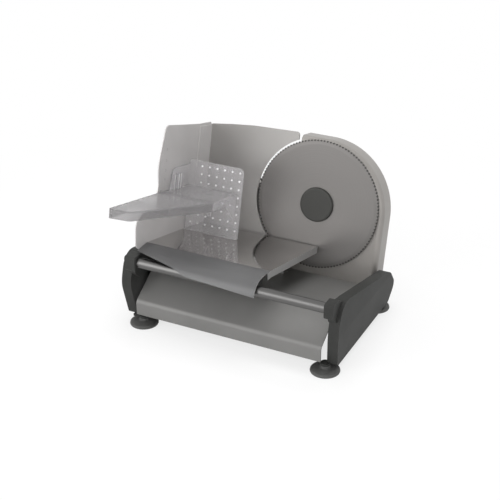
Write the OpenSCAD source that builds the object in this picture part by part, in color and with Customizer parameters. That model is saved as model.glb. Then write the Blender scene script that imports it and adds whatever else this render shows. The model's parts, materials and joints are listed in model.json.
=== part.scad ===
// Electric food slicer: a tilted round blade, a food carriage on a front rail, a gauge plate that sets the
// slice, and a clear pusher. x runs along the rail, y runs to the back, z runs up.
// The origin is on the ground, in the middle of the overall box.

/* [Blade] */
// Diameter over the blade's teeth
blade_d = 190; // [186:1:193]
// Thickness of the blade
blade_t = 2; // [1.6:0.1:2.2]
// Number of teeth on the edge
blade_teeth = 120; // [72:12:120]
// Depth of the teeth
tooth_depth = 1.4; // [1:0.1:2]
// Width of the ground bevel
bevel_w = 7; // [4:1:10]
// Height of the blade's centre above the ground
blade_height = 137.5; // [137:0.5:142]
// Backward tilt of the blade, the carriage and the deck
tilt = 13; // [12:0.25:14]
// Diameter of the hub cap
hub_d = 50.8; // [46:0.4:54]
// Height of the hub cap
hub_h = 4.5; // [3.5:0.5:6]

/* [Base] */
// Distance between the legs
leg_gap = 300; // [298:1:304]
// Thickness of a leg
leg_t = 15; // [14:0.5:18]
// Wall of a leg
leg_wall = 3.5; // [3:0.5:4.5]
// Gap between the housing and the right leg
leg_clear = 7.5; // [6:0.5:9]
// Sheet of the deck
deck_t = 2; // [1.5:0.25:2.5]
// Gap between the deck and a leg
deck_gap = 8.5; // [7:0.5:10]
// Height of the deck's plane, straight below the blade's centre in the tilted frame
deck_height = 32.5; // [31.5:0.5:33.5]
// Height of the deck's lower edge
lip_z = 17; // [16.5:0.5:19]
// Height of the bend above the front lip
lip_top_z = 38; // [34:1:42]
// Diameter of a suction foot
foot_d = 41; // [40:1:44]
// Height of a suction foot
foot_h = 9.5; // [9:0.5:11.5]
// Distance from the front feet to the back feet
foot_pitch = 188; // [180:1:190]

/* [Rail and carriage] */
// Diameter of the front rail
rail_d = 15; // [13:0.5:15.5]
// Distance of the rail in front of the blade
rail_front = 195; // [194:0.5:197]
// Depth of the rail below the blade's centre
rail_drop = 84; // [83.5:0.5:86]
// Width of the carriage
tray_w = 192; // [188:1:193]
// Sheet of the carriage
tray_t = 1.5; // [1:0.25:1.75]
// Depth of the carriage's floor below the blade's centre
tray_drop = 61; // [59:0.5:61.5]
// Depth of the flat floor
tray_depth = 165; // [160:1:168]
// Height of the end wall above the blade's centre
wall_top = 101; // [90:1:106]
// Travel of the carriage
carriage_travel = 90; // [80:1:94]

/* [Pusher] */
// Width of the pusher's plate
pusher_w = 88; // [85:1:100]
// Height of the pusher's plate above the blade's centre
pusher_top = 45; // [44:1:60]
// Thickness of the clear plastic
pusher_t = 3; // [2.5:0.25:4]
// Pitch of the spikes
spike_pitch = 12.3; // [11:0.1:12.5]
// Height of a spike
spike_h = 3; // [2:0.5:3.5]
// Width of the hand tongue at its root
tongue_w = 82; // [76:1:84]
// Width of the hand tongue at its tip
tongue_tip_w = 30; // [26:1:40]
// Reach of the hand tongue in front of the blade
tongue_front = 280; // [250:1:290]

/* [Housing] */
// Radius of the round shoulder of the housing
housing_r = 101; // [100:0.5:101.5]
// Wall of the housing
housing_t = 3; // [2.5:0.25:3]
// Radius of the housing's front edge
housing_edge = 8; // [5:0.5:9]
// Wall of the rear cover
cover_t = 2.5; // [2:0.25:2.5]
// Depth of the motor bulge behind the cover
bulge_depth = 46; // [45.5:0.5:50]

/* [Drive] */
// Module of the blade gear and its pinion
blade_gear_m = 1.25; // [1.2:0.01:1.26]
// Module of the motor stage
motor_gear_m = 1; // [0.96:0.01:1.02]
// Diameter of the motor
motor_d = 52; // [46:1:54]
// Diameter of the blade's shaft
shaft_d = 12; // [10:0.5:13]

/* [Gauge and controls] */
// Thickness of the gauge plate
gauge_t = 3; // [2:0.25:3]
// Greatest slice
slice_max = 15; // [10:0.5:15]
// Diameter of the thickness knob
knob_d = 42; // [36:1:46]
// Height of the thickness knob
knob_h = 18; // [14:1:22]
// Width of the power rocker
rocker_w = 14; // [12:0.5:18]
// Height of the power rocker
rocker_h = 22; // [18:1:26]
// Diameter of the safety button
button_d = 14; // [12:0.5:16]
// Travel of the safety button
button_travel = 3; // [2:0.25:3.5]

/* [Hidden] */
$fn = 64;

steel = [0.74, 0.74, 0.74];
grey = [0.59, 0.58, 0.57];
black = [0.2, 0.2, 0.2];
clear = [0.8, 0.84, 0.86, 0.5];
brass = [0.75, 0.6, 0.3];
white = [0.9, 0.9, 0.87];

// Clearances
fit_gap = 0.05;
run_gap = 0.08;
free_gap = 0.35;
hole_gap = 0.2;

// Tilted frame: its origin is the blade's centre and its y points back along the blade's axis
ct = cos(tilt);
st = sin(tilt);
function to_ground(p) = [p[0] * ct + p[1] * st, -p[0] * st + p[1] * ct + blade_height];

// Places along x from the blade's centre
right_leg_x = housing_r + leg_clear;
left_leg_x = right_leg_x - leg_gap;
deck_x0 = left_leg_x + deck_gap;
deck_x1 = right_leg_x - deck_gap;
boss_reach = 3;
left_boss_reach = 14;
leg_to_tray = 9.5;
stop_gap = 1;
tray_x0 = left_leg_x + leg_to_tray;
tray_x1 = tray_x0 + tray_w;
hook_x1 = min(right_leg_x - boss_reach - stop_gap - carriage_travel, tray_x1 - 3);

// Places in the tilted frame
deck_z = deck_height - blade_height;
deck_ridge_y = -145;
deck_rear_y = 52;
rail_y = -rail_front;
rail_z = -rail_drop;
rail_r = rail_d / 2;
leg_top_z = rail_z + 9.5;
boss_r = rail_r + 3.5;
floor_z = -tray_drop;
floor_rear_y = -3;
floor_front_y = floor_rear_y - tray_depth;
blade_r = blade_d / 2;
blade_y = -0.5;
housing_y = 4;
cover_y = 34;
cover_rear_y = cover_y + cover_t;
bulge_rear_y = cover_y + bulge_depth;

// Overall box
tongue_top_z = 8;
skirt_h = 13;
front_reach = -to_ground([-tongue_front, tongue_top_z - skirt_h])[0];
bulge_edge = 8;
bulge_top_z = -18;
rear_reach = to_ground([bulge_rear_y - bulge_edge, bulge_top_z - bulge_edge])[0] + bulge_edge;
origin_x = -(left_leg_x + right_leg_x) / 2;
origin_y = (front_reach - rear_reach) / 2;

module tilted() translate([origin_x, origin_y, blade_height]) rotate([-tilt, 0, 0]) children();
module grounded() translate([origin_x, origin_y, 0]) children();

// Slab of a front view from y0 to y1, bar of a side view from x0 to x1, rods and turned pieces
module slab(y0, y1) translate([0, y1, 0]) rotate([90, 0, 0]) linear_extrude(y1 - y0) children();
module bar(x0, x1) translate([x0, 0, 0]) rotate([90, 0, 90]) linear_extrude(x1 - x0) children();
module rod_x(y, z, r, x0, x1) translate([x0, y, z]) rotate([0, 90, 0]) cylinder(r = r, h = x1 - x0);
module rod_y(x, z, r, y0, y1) translate([x, y1, z]) rotate([90, 0, 0]) cylinder(r = r, h = y1 - y0);
module turned(x, z) translate([x, 0, z]) rotate([-90, 0, 0]) rotate_extrude() children();

// Outline with rounded corners from points [x, y, radius]
corner_steps = 8;
function unit(v) = v / norm(v);
function rounded_corner(a, b, c) = b[2] <= 0 ? [[b[0], b[1]]] :
    let (p = [b[0], b[1]], u = unit([a[0], a[1]] - p), v = unit([c[0], c[1]] - p), half = acos(u * v) / 2,
        centre = p + unit(u + v) * b[2] / sin(half), s = p + u * b[2] / tan(half) - centre,
        e = p + v * b[2] / tan(half) - centre, a0 = atan2(s[1], s[0]), d = atan2(e[1], e[0]) - a0,
        turn = d > 180 ? d - 360 : d < -180 ? d + 360 : d)
    [for (i = [0 : corner_steps]) let (t = a0 + turn * i / corner_steps) centre + b[2] * [cos(t), sin(t)]];
function rounded(p) = [for (i = [0 : len(p) - 1])
    each rounded_corner(p[(i + len(p) - 1) % len(p)], p[i], p[(i + 1) % len(p)])];
function frame(x0, x1, z0, z1, r) = rounded([[x0, z0, r], [x1, z0, r], [x1, z1, r], [x0, z1, r]]);

// Bent sheet: a line and the same line set off to its left by t, mitred at the bends
function left_of(a, b) = let (u = unit(b - a)) [-u[1], u[0]];
function set_off(line, d) = [for (i = [0 : len(line) - 1])
    let (n0 = left_of(line[max(i - 1, 0)], line[max(i, 1)]),
        n1 = left_of(line[min(i, len(line) - 2)], line[min(i + 1, len(line) - 1)]), m = unit(n0 + n1))
    line[i] + m * d / (m * n0)];
function reversed(list) = [for (i = [len(list) - 1 : -1 : 0]) list[i]];
function sheet(line, t) = concat(line, reversed(set_off(line, t)));

// Involute gear with a tooth on the angle 0
pressure = 25;
backlash = 0.16;
function inv_turn(r, rb) = r <= rb ? 0 : let (t = sqrt(pow(r / rb, 2) - 1)) t * 180 / PI - atan(t);
function gear_outline(n, m) =
    let (rp = n * m / 2, rb = rp * cos(pressure), ro = rp + 0.9 * m, rr = rp - 1.15 * m,
        half = 90 / n - backlash / 2 / rp * 180 / PI + inv_turn(rp, rb), r0 = max(rb, rr + 0.05),
        flank = [rr, each [for (i = [0 : 3]) r0 + (ro - r0) * i / 3]])
    [for (k = [0 : n - 1]) each [
        for (r = flank) let (a = k * 360 / n - half + inv_turn(r, rb)) r * [cos(a), sin(a)],
        for (r = reversed(flank)) let (a = k * 360 / n + half - inv_turn(r, rb)) r * [cos(a), sin(a)]]];

// Screw along +z with its seat at z = 0, its head below
screw_r = 2;
screw_head_r = 4;
screw_head_h = 2.5;
module screw(reach) {
    cylinder(r = screw_r, h = reach);
    translate([0, 0, -screw_head_h]) cylinder(r = screw_head_r, h = screw_head_h);
}

// Base

ridge = to_ground([deck_ridge_y, deck_z]);
deck_rear = to_ground([deck_rear_y, deck_z]);
lip_y = ridge[0] - 47;
rear_lip = 6.5;
lip_bend = 9;
deck_line = [[lip_y, lip_z], each rounded_corner([lip_y, lip_z], [lip_y, lip_top_z, lip_bend], ridge), ridge,
    deck_rear, [deck_rear[0], deck_rear[1] - rear_lip]];
cheek_line = [[ridge[0], lip_z], ridge, deck_rear, [deck_rear[0], deck_rear[1] - rear_lip]];
function deck_at(y) = deck_rear[1] + (deck_rear[0] - y) * st / ct;
leg_boss_y = [-125, -60];
leg_boss_drop = 14.5;
leg_boss_yz = [for (y = leg_boss_y) [y, deck_at(y) - leg_boss_drop]];
leg_boss_r = 7;
leg_screw_reach = 8;
support_x0 = -158;
support_x1 = -88;
support_y0 = 30;
support_y1 = 50;
deck_screw_xy = [[support_x0 + 12, 40], [support_x1 - 12, 40], [-40, 19], [62, 19]];

module base_deck() color(grey) difference() {
    grounded() union() {
        bar(deck_x0, deck_x1) polygon(sheet(deck_line, -deck_t));
        for (x = [deck_x0, deck_x1 - deck_t]) bar(x, x + deck_t) polygon(cheek_line);
    }
    grounded() for (p = leg_boss_yz) rod_x(p[0], p[1], screw_r + hole_gap, deck_x0 - 1, deck_x1 + 1);
    tilted() for (p = deck_screw_xy)
        translate([p[0], p[1], deck_z - deck_t - 1]) cylinder(r = screw_r + hole_gap, h = deck_t + 2);
}
module deck_screws() color(steel) tilted() for (p = deck_screw_xy)
    translate([p[0], p[1], deck_z - deck_t]) screw(deck_t + 2.4);
module leg_screws() color(steel) grounded() for (p = leg_boss_yz) {
    translate([deck_x1 - deck_t, p[0], p[1]]) rotate([0, 90, 0]) screw(deck_t + leg_screw_reach);
    translate([deck_x0 + deck_t, p[0], p[1]]) rotate([0, -90, 0]) screw(deck_t + leg_screw_reach);
}

// Leg: a moulded cheek that leans in towards its feet, with a pocket on its inner side
foot_front_y = -203;
foot_inset = 5;
left_foot_inset = 15;
foot_ys = [foot_front_y, foot_front_y + foot_pitch];
leg_rear_top = to_ground([0, leg_top_z]);
function leg_top_at(y) = leg_rear_top[1] - (y - leg_rear_top[0]) * st / ct;
leg_front_y = -198;
leg_belly_y = -211.5;
leg_belly_z = 62;
leg_outline = rounded([[foot_front_y + 2, foot_h, 5], [leg_belly_y, leg_belly_z, 50],
    [leg_front_y, leg_top_at(leg_front_y), 24], [leg_rear_top[0], leg_rear_top[1], 30],
    [12, 33, 14], [-8, foot_h, 9]]);
leg_lean = 3.5;
leg_waist_z = 58;
leg_front = rounded([[-leg_lean, foot_h - 1, 0], [leg_t - leg_lean, foot_h - 1, 0], [leg_t, leg_waist_z, 60],
    [leg_t, blade_height, 0], [0, blade_height, 0], [0, leg_waist_z, 60]]);
boss_deep = leg_t - 5;
left_boss_deep = 2.5;
pad_r = 6.5;
pad_h = 3.6;
pocket_y0 = -165;
pocket_y1 = -32;
leg_ribs = 3;
module leg(reach, deep, inset) {
    rail_at = to_ground([rail_y, rail_z]);
    difference() {
        union() {
            intersection() {
                bar(-leg_lean, leg_t) polygon(leg_outline);
                slab(-rail_front - 100, 100) polygon(leg_front);
            }
            bar(-reach, deep) polygon([for (p = frame(-boss_r, boss_r, -boss_r, boss_r, 4)) rail_at + p]);
            bar(-reach / 2, deep) polygon([rail_at + [0, boss_r - 3], [pocket_y0, leg_top_at(pocket_y0) - 2.4],
                [foot_front_y + 8, leg_belly_z + 6], [foot_front_y - 3, rail_at[1] - 2 * boss_r],
                rail_at - boss_r * [0.5, 0.6]]);
            for (y = foot_ys) translate([-inset, y, foot_h]) {
                cylinder(r = pad_r, h = pad_h);
                translate([0, -0.7 * pad_r, 0]) cube([inset, 1.4 * pad_r, pad_h]);
            }
            for (p = leg_boss_yz) rod_x(p[0], p[1], leg_boss_r, -deck_gap, leg_wall);
        }
        difference() {
            bar(-leg_lean - 0.5, leg_t - leg_wall - leg_lean) polygon(rounded([[pocket_y0, foot_h + pad_h + 2, 5],
                [pocket_y0, leg_top_at(pocket_y0) - leg_wall, 5],
                [pocket_y1, leg_top_at(pocket_y1) - leg_wall, 5], [pocket_y1, foot_h + pad_h + 2, 5]]));
            for (i = [1 : leg_ribs]) translate([-leg_lean, pocket_y0 - leg_wall / 2
                + (pocket_y1 - pocket_y0) * i / (leg_ribs + 1), 0]) cube([leg_t, leg_wall, blade_height]);
            for (p = leg_boss_yz) rod_x(p[0], p[1], leg_boss_r, -deck_gap, leg_t);
        }
        rod_x(rail_at[0], rail_at[1], rail_r + fit_gap, -reach - 1, deep - leg_wall);
        for (p = leg_boss_yz) rod_x(p[0], p[1], screw_r + fit_gap, -deck_gap - 1, leg_screw_reach);
        for (y = foot_ys) translate([-inset, y, foot_h - 1]) cylinder(r = screw_r + fit_gap, h = pad_h);
    }
}
module right_leg() color(black) grounded() translate([right_leg_x, 0, 0]) leg(boss_reach, boss_deep, foot_inset);
module left_leg() color(black) grounded() translate([left_leg_x, 0, 0]) mirror([1, 0, 0])
    leg(left_boss_reach, left_boss_deep, left_foot_inset);

// Suction foot with its stud
module foot(x, y) color(black) grounded() translate([x, y, 0]) rotate_extrude() polygon([[0, 3],
    [foot_d / 2 - 4, 1.5], [foot_d / 2 - 1.5, 0], [foot_d / 2 - 0.4, 0], [foot_d / 2, 1], [foot_d / 2 - 0.4, 2.6],
    [foot_d / 2 - 2, 4], [foot_d / 2 - 6, 5.2], [8, foot_h - 3], [6, foot_h - 1.5], [5.5, foot_h],
    [screw_r, foot_h], [screw_r, foot_h + pad_h - 1.5], [0, foot_h + pad_h - 1.5]]);
left_foot_x = left_leg_x + left_foot_inset;
right_foot_x = right_leg_x - foot_inset;
module front_left_foot() foot(left_foot_x, foot_ys[0]);
module front_right_foot() foot(right_foot_x, foot_ys[0]);
module rear_left_foot() foot(left_foot_x, foot_ys[1]);
module rear_right_foot() foot(right_foot_x, foot_ys[1]);

module front_rail() color(steel) tilted()
    rod_x(rail_y, rail_z, rail_r, left_leg_x - left_boss_deep + leg_wall, right_leg_x + boss_deep - leg_wall);

// Strip on the deck that guides the carriage's back edge
guide_y0 = -30;
guide_y1 = -24;
guide_top = floor_z - 12;
guide_x0 = tray_x0 + 6;
guide_x1 = -28;
module rear_guide() color(steel) tilted() bar(guide_x0, guide_x1) polygon([[guide_y0, deck_z],
    [guide_y1 + 12, deck_z], [guide_y1 + 12, deck_z + 2], [guide_y1, deck_z + 2], [guide_y1, guide_top],
    [guide_y0, guide_top]]);

// Housing

housing_cz = -5;
housing_left = -37;
housing_shoulder = 74;
housing_waist = -66;
housing_waist_top = 48;
housing_depth = cover_y - housing_y;
housing_inner_y = housing_y + housing_t;
housing_top = housing_cz + housing_r;
gear_plate_y0 = 29;
gear_plate_y1 = 32;
idler_z = -(70 + 14) * blade_gear_m / 2;
motor_x = -(48 + 12) * motor_gear_m / 2;
gear_screw_xz = [[-52, deck_z + 14], [21, deck_z + 14], [20, 50], [-52, 16]];
cover_screw_xz = [[housing_r - 15, deck_z + 17], [housing_r - 17, housing_cz + 23],
    [housing_left + 10, housing_top - 16], [housing_waist + 9, housing_waist_top - 12], [42, deck_z + 10]];
boss_pillar_r = 5;
pillar_y = housing_inner_y - 0.5;
axle_r = 3;
switch_x = housing_r - 39;
switch_z = housing_cz + 45;
button_z = 0;
button_x = 35 * blade_gear_m + 18.25;

// Section of a rounded rim: first value out from the centre, second value in from the closed face
function rim(r, depth, t, f) = concat([[r - f - 2, 0]],
    [for (i = [0 : corner_steps]) let (a = -90 + 90 * i / corner_steps) [r - f + f * cos(a), f + f * sin(a)]],
    [[r, depth], [r - t, depth]],
    [for (i = [0 : corner_steps]) let (a = -90 * i / corner_steps)
        [r - f + (f - t) * cos(a), f + (f - t) * sin(a)]],
    [[r - f - 2, t]]);
module round_side(inset) {
    intersection() {
        translate([0, housing_cz]) circle(r = housing_r - inset, $fn = 128);
        translate([0, housing_cz]) square(2 * housing_r);
    }
    translate([-1, deck_z]) square([housing_r - inset + 1, housing_cz - deck_z]);
    polygon([[0, deck_z], [housing_waist, deck_z], [housing_waist, housing_waist_top],
        [housing_left, housing_shoulder], [housing_left, housing_top - inset], [0, housing_top - inset]]);
}
module main_housing() color(grey) tilted() {
    section = rim(housing_r, housing_depth, housing_t, housing_edge);
    difference() {
        union() {
            slab(housing_y, housing_inner_y) round_side(housing_edge);
            translate([0, housing_y, housing_cz]) rotate([90, 0, 0]) rotate_extrude(angle = 90, $fn = 128)
                polygon([for (p = section) [p[0], -p[1]]]);
            translate([0, housing_y, deck_z]) linear_extrude(housing_cz - deck_z) polygon(section);
            translate([0, housing_y, housing_cz]) bar(housing_left + housing_t, 0)
                polygon([for (p = section) [p[1], p[0]]]);
            bar(housing_left, housing_left + housing_t) polygon(concat([[housing_y, housing_shoulder - 4]],
                [for (i = [1 : corner_steps + 1]) [housing_y + section[i][1], housing_cz + section[i][0]]],
                [[cover_y, housing_top], [cover_y, housing_shoulder - 4]]));
            slab(housing_y, cover_y) polygon(sheet([[housing_left, housing_shoulder + 2],
                [housing_left, housing_shoulder], [housing_waist, housing_waist_top],
                [housing_waist, deck_z]], housing_t));
            translate([0, housing_y, deck_z]) linear_extrude(housing_t) polygon(concat([[housing_waist, 0]],
                [for (i = [1 : corner_steps + 1]) section[i]],
                [[housing_r, housing_depth], [housing_waist, housing_depth]]));
            for (p = gear_screw_xz) rod_y(p[0], p[1], boss_pillar_r, pillar_y, gear_plate_y0);
            for (p = cover_screw_xz) rod_y(p[0], p[1], boss_pillar_r, pillar_y, cover_y);
            rod_y(0, idler_z, axle_r + 4, pillar_y, housing_inner_y + 1);
            rod_y(button_x, button_z, 6, pillar_y, safety_y0);
        }
        rod_y(0, 0, bush_r + fit_gap, housing_y - 1, housing_inner_y + 1);
        rod_y(0, idler_z, axle_r + fit_gap, housing_y + 1, housing_inner_y + 2);
        for (p = gear_screw_xz) rod_y(p[0], p[1], screw_r + fit_gap, gear_plate_y0 - 9, gear_plate_y0 + 1);
        for (p = cover_screw_xz) rod_y(p[0], p[1], screw_r + fit_gap, cover_y - 9, cover_y + 1);
        for (i = [2, 3]) translate([deck_screw_xy[i][0], deck_screw_xy[i][1], deck_z - 1])
            cylinder(r = screw_r + fit_gap, h = housing_t + 2);
    }
}

// Rear cover: a flat back with a bulge over the motor
bulge_half = 34.5;
bulge_cz = bulge_top_z - bulge_half;
bulge_corner = 24;
bulge_core = bulge_half - bulge_corner;
vents = 7;
vent_pitch = 7;
grommet_x = housing_r - 39;
grommet_z = deck_z + 27;
grommet_r = 6;
rocker_hole_w = rocker_w + 2 * free_gap;
rocker_hole_h = rocker_h + 2.4;
module round_square(half, r) {
    square([2 * half, 2 * (half - r)], center = true);
    square([2 * (half - r), 2 * half], center = true);
    for (x = [-1, 1], z = [-1, 1]) translate([x * (half - r), z * (half - r)]) circle(r = r);
}
module rear_cover() color(grey) tilted() {
    section = rim(bulge_corner, bulge_depth, cover_t, bulge_edge);
    difference() {
        union() {
            slab(cover_y, cover_rear_y) difference() {
                round_side(0);
                translate([motor_x, bulge_cz]) round_square(bulge_half - cover_t / 2, bulge_corner - cover_t / 2);
            }
            translate([motor_x, bulge_rear_y, bulge_cz]) rotate([90, 0, 0]) for (i = [0 : 3])
                rotate([0, 0, 90 * i]) {
                    translate([bulge_core, bulge_core, 0]) rotate_extrude(angle = 90) polygon(section);
                    translate([bulge_core, bulge_core, 0]) rotate([90, 0, 0]) linear_extrude(2 * bulge_core)
                        polygon(section);
                }
            slab(bulge_rear_y - cover_t, bulge_rear_y) translate([motor_x, bulge_cz])
                round_square(bulge_half - bulge_edge - 1, bulge_corner - bulge_edge - 1);
        }
        for (i = [0 : vents - 1]) translate([motor_x - 20, bulge_rear_y - cover_t - 1,
            bulge_cz + (i - (vents - 1) / 2) * vent_pitch - 1.5]) cube([40, cover_t + 2, 3]);
        for (p = cover_screw_xz) rod_y(p[0], p[1], screw_r + hole_gap, cover_y - 1, cover_rear_y + 1);
        slab(cover_y - 1, cover_rear_y + 1) translate([switch_x, switch_z])
            square([rocker_hole_w, rocker_hole_h], center = true);
        rod_y(button_x, button_z, button_d / 2 + free_gap, cover_y - 1, cover_rear_y + 1);
        rod_y(grommet_x, grommet_z, grommet_r + fit_gap, cover_y - 1, cover_rear_y + 1);
    }
}
module cover_screws() color(steel) tilted() for (p = cover_screw_xz)
    translate([p[0], cover_rear_y, p[1]]) rotate([90, 0, 0]) screw(cover_t + 8);

// Grommet where the cord enters
module cord_grommet() color(black) tilted() turned(grommet_x, grommet_z) polygon([
    [3.2, cover_y - 2], [grommet_r + 2.5, cover_y - 2], [grommet_r + 2.5, cover_y], [grommet_r, cover_y],
    [grommet_r, cover_rear_y], [grommet_r + 2.5, cover_rear_y], [grommet_r + 1.5, cover_rear_y + 3],
    [3.2, cover_rear_y + 3]]);

// Drive

gear_plate_outline = [[-60, deck_z + 6, 6], [28, deck_z + 6, 6], [28, 57, 6], [10, 57, 6], [-60, 24, 6]];
bush_r = shaft_d / 2 + 4;
motor_screw_z = 16;
motor_nose_r = 8;
module gear_plate() color(steel) tilted() slab(gear_plate_y0, gear_plate_y1) difference() {
    polygon(rounded(gear_plate_outline));
    circle(r = bush_r + fit_gap);
    translate([0, idler_z]) circle(r = axle_r + fit_gap);
    translate([motor_x, idler_z]) circle(r = motor_nose_r);
    for (p = gear_screw_xz) translate(p) circle(r = screw_r + hole_gap);
    for (s = [-1, 1]) translate([motor_x, idler_z + s * motor_screw_z]) circle(r = screw_r + hole_gap);
}
module gear_plate_screws() color(steel) tilted() for (p = gear_screw_xz)
    translate([p[0], gear_plate_y1, p[1]]) rotate([90, 0, 0]) scale(0.72) screw(10);
module front_bush() color(brass) tilted() turned(0, 0) polygon([
    [shaft_d / 2 + run_gap, housing_y], [bush_r, housing_y], [bush_r, housing_inner_y],
    [bush_r + 2.5, housing_inner_y], [bush_r + 2.5, housing_inner_y + 1.5],
    [shaft_d / 2 + run_gap, housing_inner_y + 1.5]]);
module rear_bush() color(brass) tilted() turned(0, 0) polygon([
    [shaft_d / 2 + run_gap, gear_plate_y0 - 1.5], [bush_r + 2.5, gear_plate_y0 - 1.5],
    [bush_r + 2.5, gear_plate_y0], [bush_r, gear_plate_y0], [bush_r, gear_plate_y1],
    [shaft_d / 2 + run_gap, gear_plate_y1]]);

// Blade: a bevelled disc with a toothed rim, on a flanged shaft
rim_t = 1.6;
function tooth_ring(r) = [for (i = [0 : 2 * blade_teeth - 1]) let (a = 180 * i / blade_teeth)
    (r - (i % 2) * tooth_depth) * [cos(a), sin(a)]];
module blade() color(steel) tilted() {
    turned(0, 0) polygon([[shaft_d / 2 + fit_gap, blade_y], [blade_r - bevel_w, blade_y],
        [blade_r - tooth_depth - 0.5, blade_y + blade_t - rim_t], [blade_r - tooth_depth - 0.5, blade_y + blade_t],
        [shaft_d / 2 + fit_gap, blade_y + blade_t]]);
    slab(blade_y + blade_t - rim_t, blade_y + blade_t) difference() {
        polygon(tooth_ring(blade_r));
        circle(r = blade_r - bevel_w);
    }
}
flange_r = 18;
blade_back = blade_y + blade_t;
module blade_shaft() color(steel) tilted() turned(0, 0) polygon([[0, blade_y - 2.5], [shaft_d / 2, blade_y - 2.5],
    [shaft_d / 2, blade_back], [flange_r, blade_back], [flange_r, blade_back + 1.6],
    [shaft_d / 2, blade_back + 1.6], [shaft_d / 2, gear_plate_y1 + 1], [0, gear_plate_y1 + 1]]);
blade_gear_y0 = 9;
blade_gear_y1 = 17;
module blade_gear() color(white) tilted() {
    slab(blade_gear_y0, blade_gear_y1) difference() {
        rotate(-90) polygon(gear_outline(70, blade_gear_m));
        circle(r = shaft_d / 2 + fit_gap);
    }
    slab(blade_gear_y1 - 1, gear_plate_y0 - 2) difference() {
        circle(r = shaft_d / 2 + 3.5);
        circle(r = shaft_d / 2 + fit_gap);
    }
}
module hub_cap() color(black) tilted() turned(0, 0) polygon([[0, blade_y - hub_h], [hub_d / 2 - 2.5, blade_y - hub_h],
    [hub_d / 2 - 0.7, blade_y - hub_h + 0.7], [hub_d / 2, blade_y - hub_h + 2.5], [hub_d / 2, blade_y],
    [shaft_d / 2 + fit_gap, blade_y], [shaft_d / 2 + fit_gap, blade_y - 2.7], [0, blade_y - 2.7]]);

// Idler: a large gear for the motor with a small one for the blade
idler_y0 = housing_inner_y + 1.5;
idler_mid = 18;
idler_y1 = 26;
module idler_gear() color(white) tilted() difference() {
    union() {
        slab(idler_y0, idler_mid) translate([0, idler_z]) rotate(90 + 180 / 14)
            polygon(gear_outline(14, blade_gear_m));
        slab(idler_mid, idler_y1) translate([0, idler_z]) rotate(180) polygon(gear_outline(48, motor_gear_m));
    }
    rod_y(0, idler_z, axle_r + run_gap, idler_y0 - 1, idler_y1 + 1);
}
module idler_axle() color(steel) tilted() rod_y(0, idler_z, axle_r, housing_y + 1.5, gear_plate_y1);

// Motor
can_y1 = 68;
end_cap_y1 = 71;
motor_shaft_r = 2.5;
module motor_can() color(steel) tilted() difference() {
    rod_y(motor_x, idler_z, motor_d / 2, gear_plate_y1, can_y1);
    rod_y(motor_x, idler_z, motor_shaft_r + run_gap, gear_plate_y1 - 1, can_y1 + 1);
    for (s = [-1, 1])
        rod_y(motor_x, idler_z + s * motor_screw_z, screw_r + fit_gap, gear_plate_y1 - 1, gear_plate_y1 + 7);
}
module motor_end_cap() color(black) tilted() difference() {
    rod_y(motor_x, idler_z, motor_d / 2 - 4, can_y1, end_cap_y1);
    rod_y(motor_x, idler_z, motor_shaft_r + run_gap, can_y1 - 1, end_cap_y1 + 1);
}
module motor_screws() color(steel) tilted() for (s = [-1, 1])
    translate([motor_x, gear_plate_y0, idler_z + s * motor_screw_z]) rotate([-90, 0, 0]) screw(9);
pinion_y0 = 17.5;
pinion_y1 = 26.5;
fan_y0 = 72;
fan_y1 = 76;
module motor_shaft() color(steel) tilted() rod_y(motor_x, idler_z, motor_shaft_r, pinion_y0, fan_y1);
module motor_pinion() color(brass) tilted() slab(pinion_y0, pinion_y1) translate([motor_x, idler_z]) difference() {
    rotate(180 / 12) polygon(gear_outline(12, motor_gear_m));
    circle(r = motor_shaft_r + fit_gap);
}
fan_blades = 8;
module cooling_fan() color(white) tilted() difference() {
    union() {
        rod_y(motor_x, idler_z, 7, fan_y0, fan_y1);
        rod_y(motor_x, idler_z, motor_d / 2 - 4, fan_y0, fan_y0 + 1);
        slab(fan_y0, fan_y1) translate([motor_x, idler_z]) for (i = [0 : fan_blades - 1]) rotate(360 * i / fan_blades)
            translate([5, -0.6]) square([motor_d / 2 - 10, 1.2]);
    }
    rod_y(motor_x, idler_z, motor_shaft_r + fit_gap, fan_y0 - 1, fan_y1 + 1);
}

// Gauge plate, its carrier on two rods, and the spindle with the knob that moves it

gauge_y = 0.6;
gauge_x0 = tray_x0 - 4;
gauge_x1 = -40;
gauge_bottom = deck_z + 7;
gauge_gap = 2.5;
gauge_step_z = floor_z - 5;
gauge_top = 100;
gauge_fall = 10.7;
gauge_crown = 60;
gauge_corner = 6;
gauge_w = gauge_x1 - gauge_x0;
carrier_y0 = gauge_y + gauge_t;
carrier_y1 = carrier_y0 + 6;
rod_xs = [-148, -98];
rod_z = -40;
rod_r = 4;
rod_y1 = 58;
spindle_x = -123;
spindle_z = -10;
spindle_r = 4;
nut_r = 8;
nut_y1 = 29.5;
support_wall = 4;
support_top = 8;
module gauge_plate() color(steel) tilted() slab(gauge_y, carrier_y0) difference() {
    polygon(rounded([[gauge_x0, gauge_step_z, 3], [gauge_x0, gauge_top - gauge_fall, gauge_corner],
        [gauge_x0 + 0.25 * gauge_w, gauge_top - 0.55 * gauge_fall, gauge_crown],
        [gauge_x0 + 0.5 * gauge_w, gauge_top - 0.22 * gauge_fall, gauge_crown],
        [gauge_x1, gauge_top, 0.75 * gauge_corner], [gauge_x1, 0, 0], [housing_waist - 3, 0, 0],
        [housing_waist - 3, gauge_bottom, 3], [gauge_x0 + 9, gauge_bottom, 3],
        [gauge_x0 + 9, gauge_step_z, 0]]));
    circle(r = blade_r + gauge_gap, $fn = 128);
}
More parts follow.
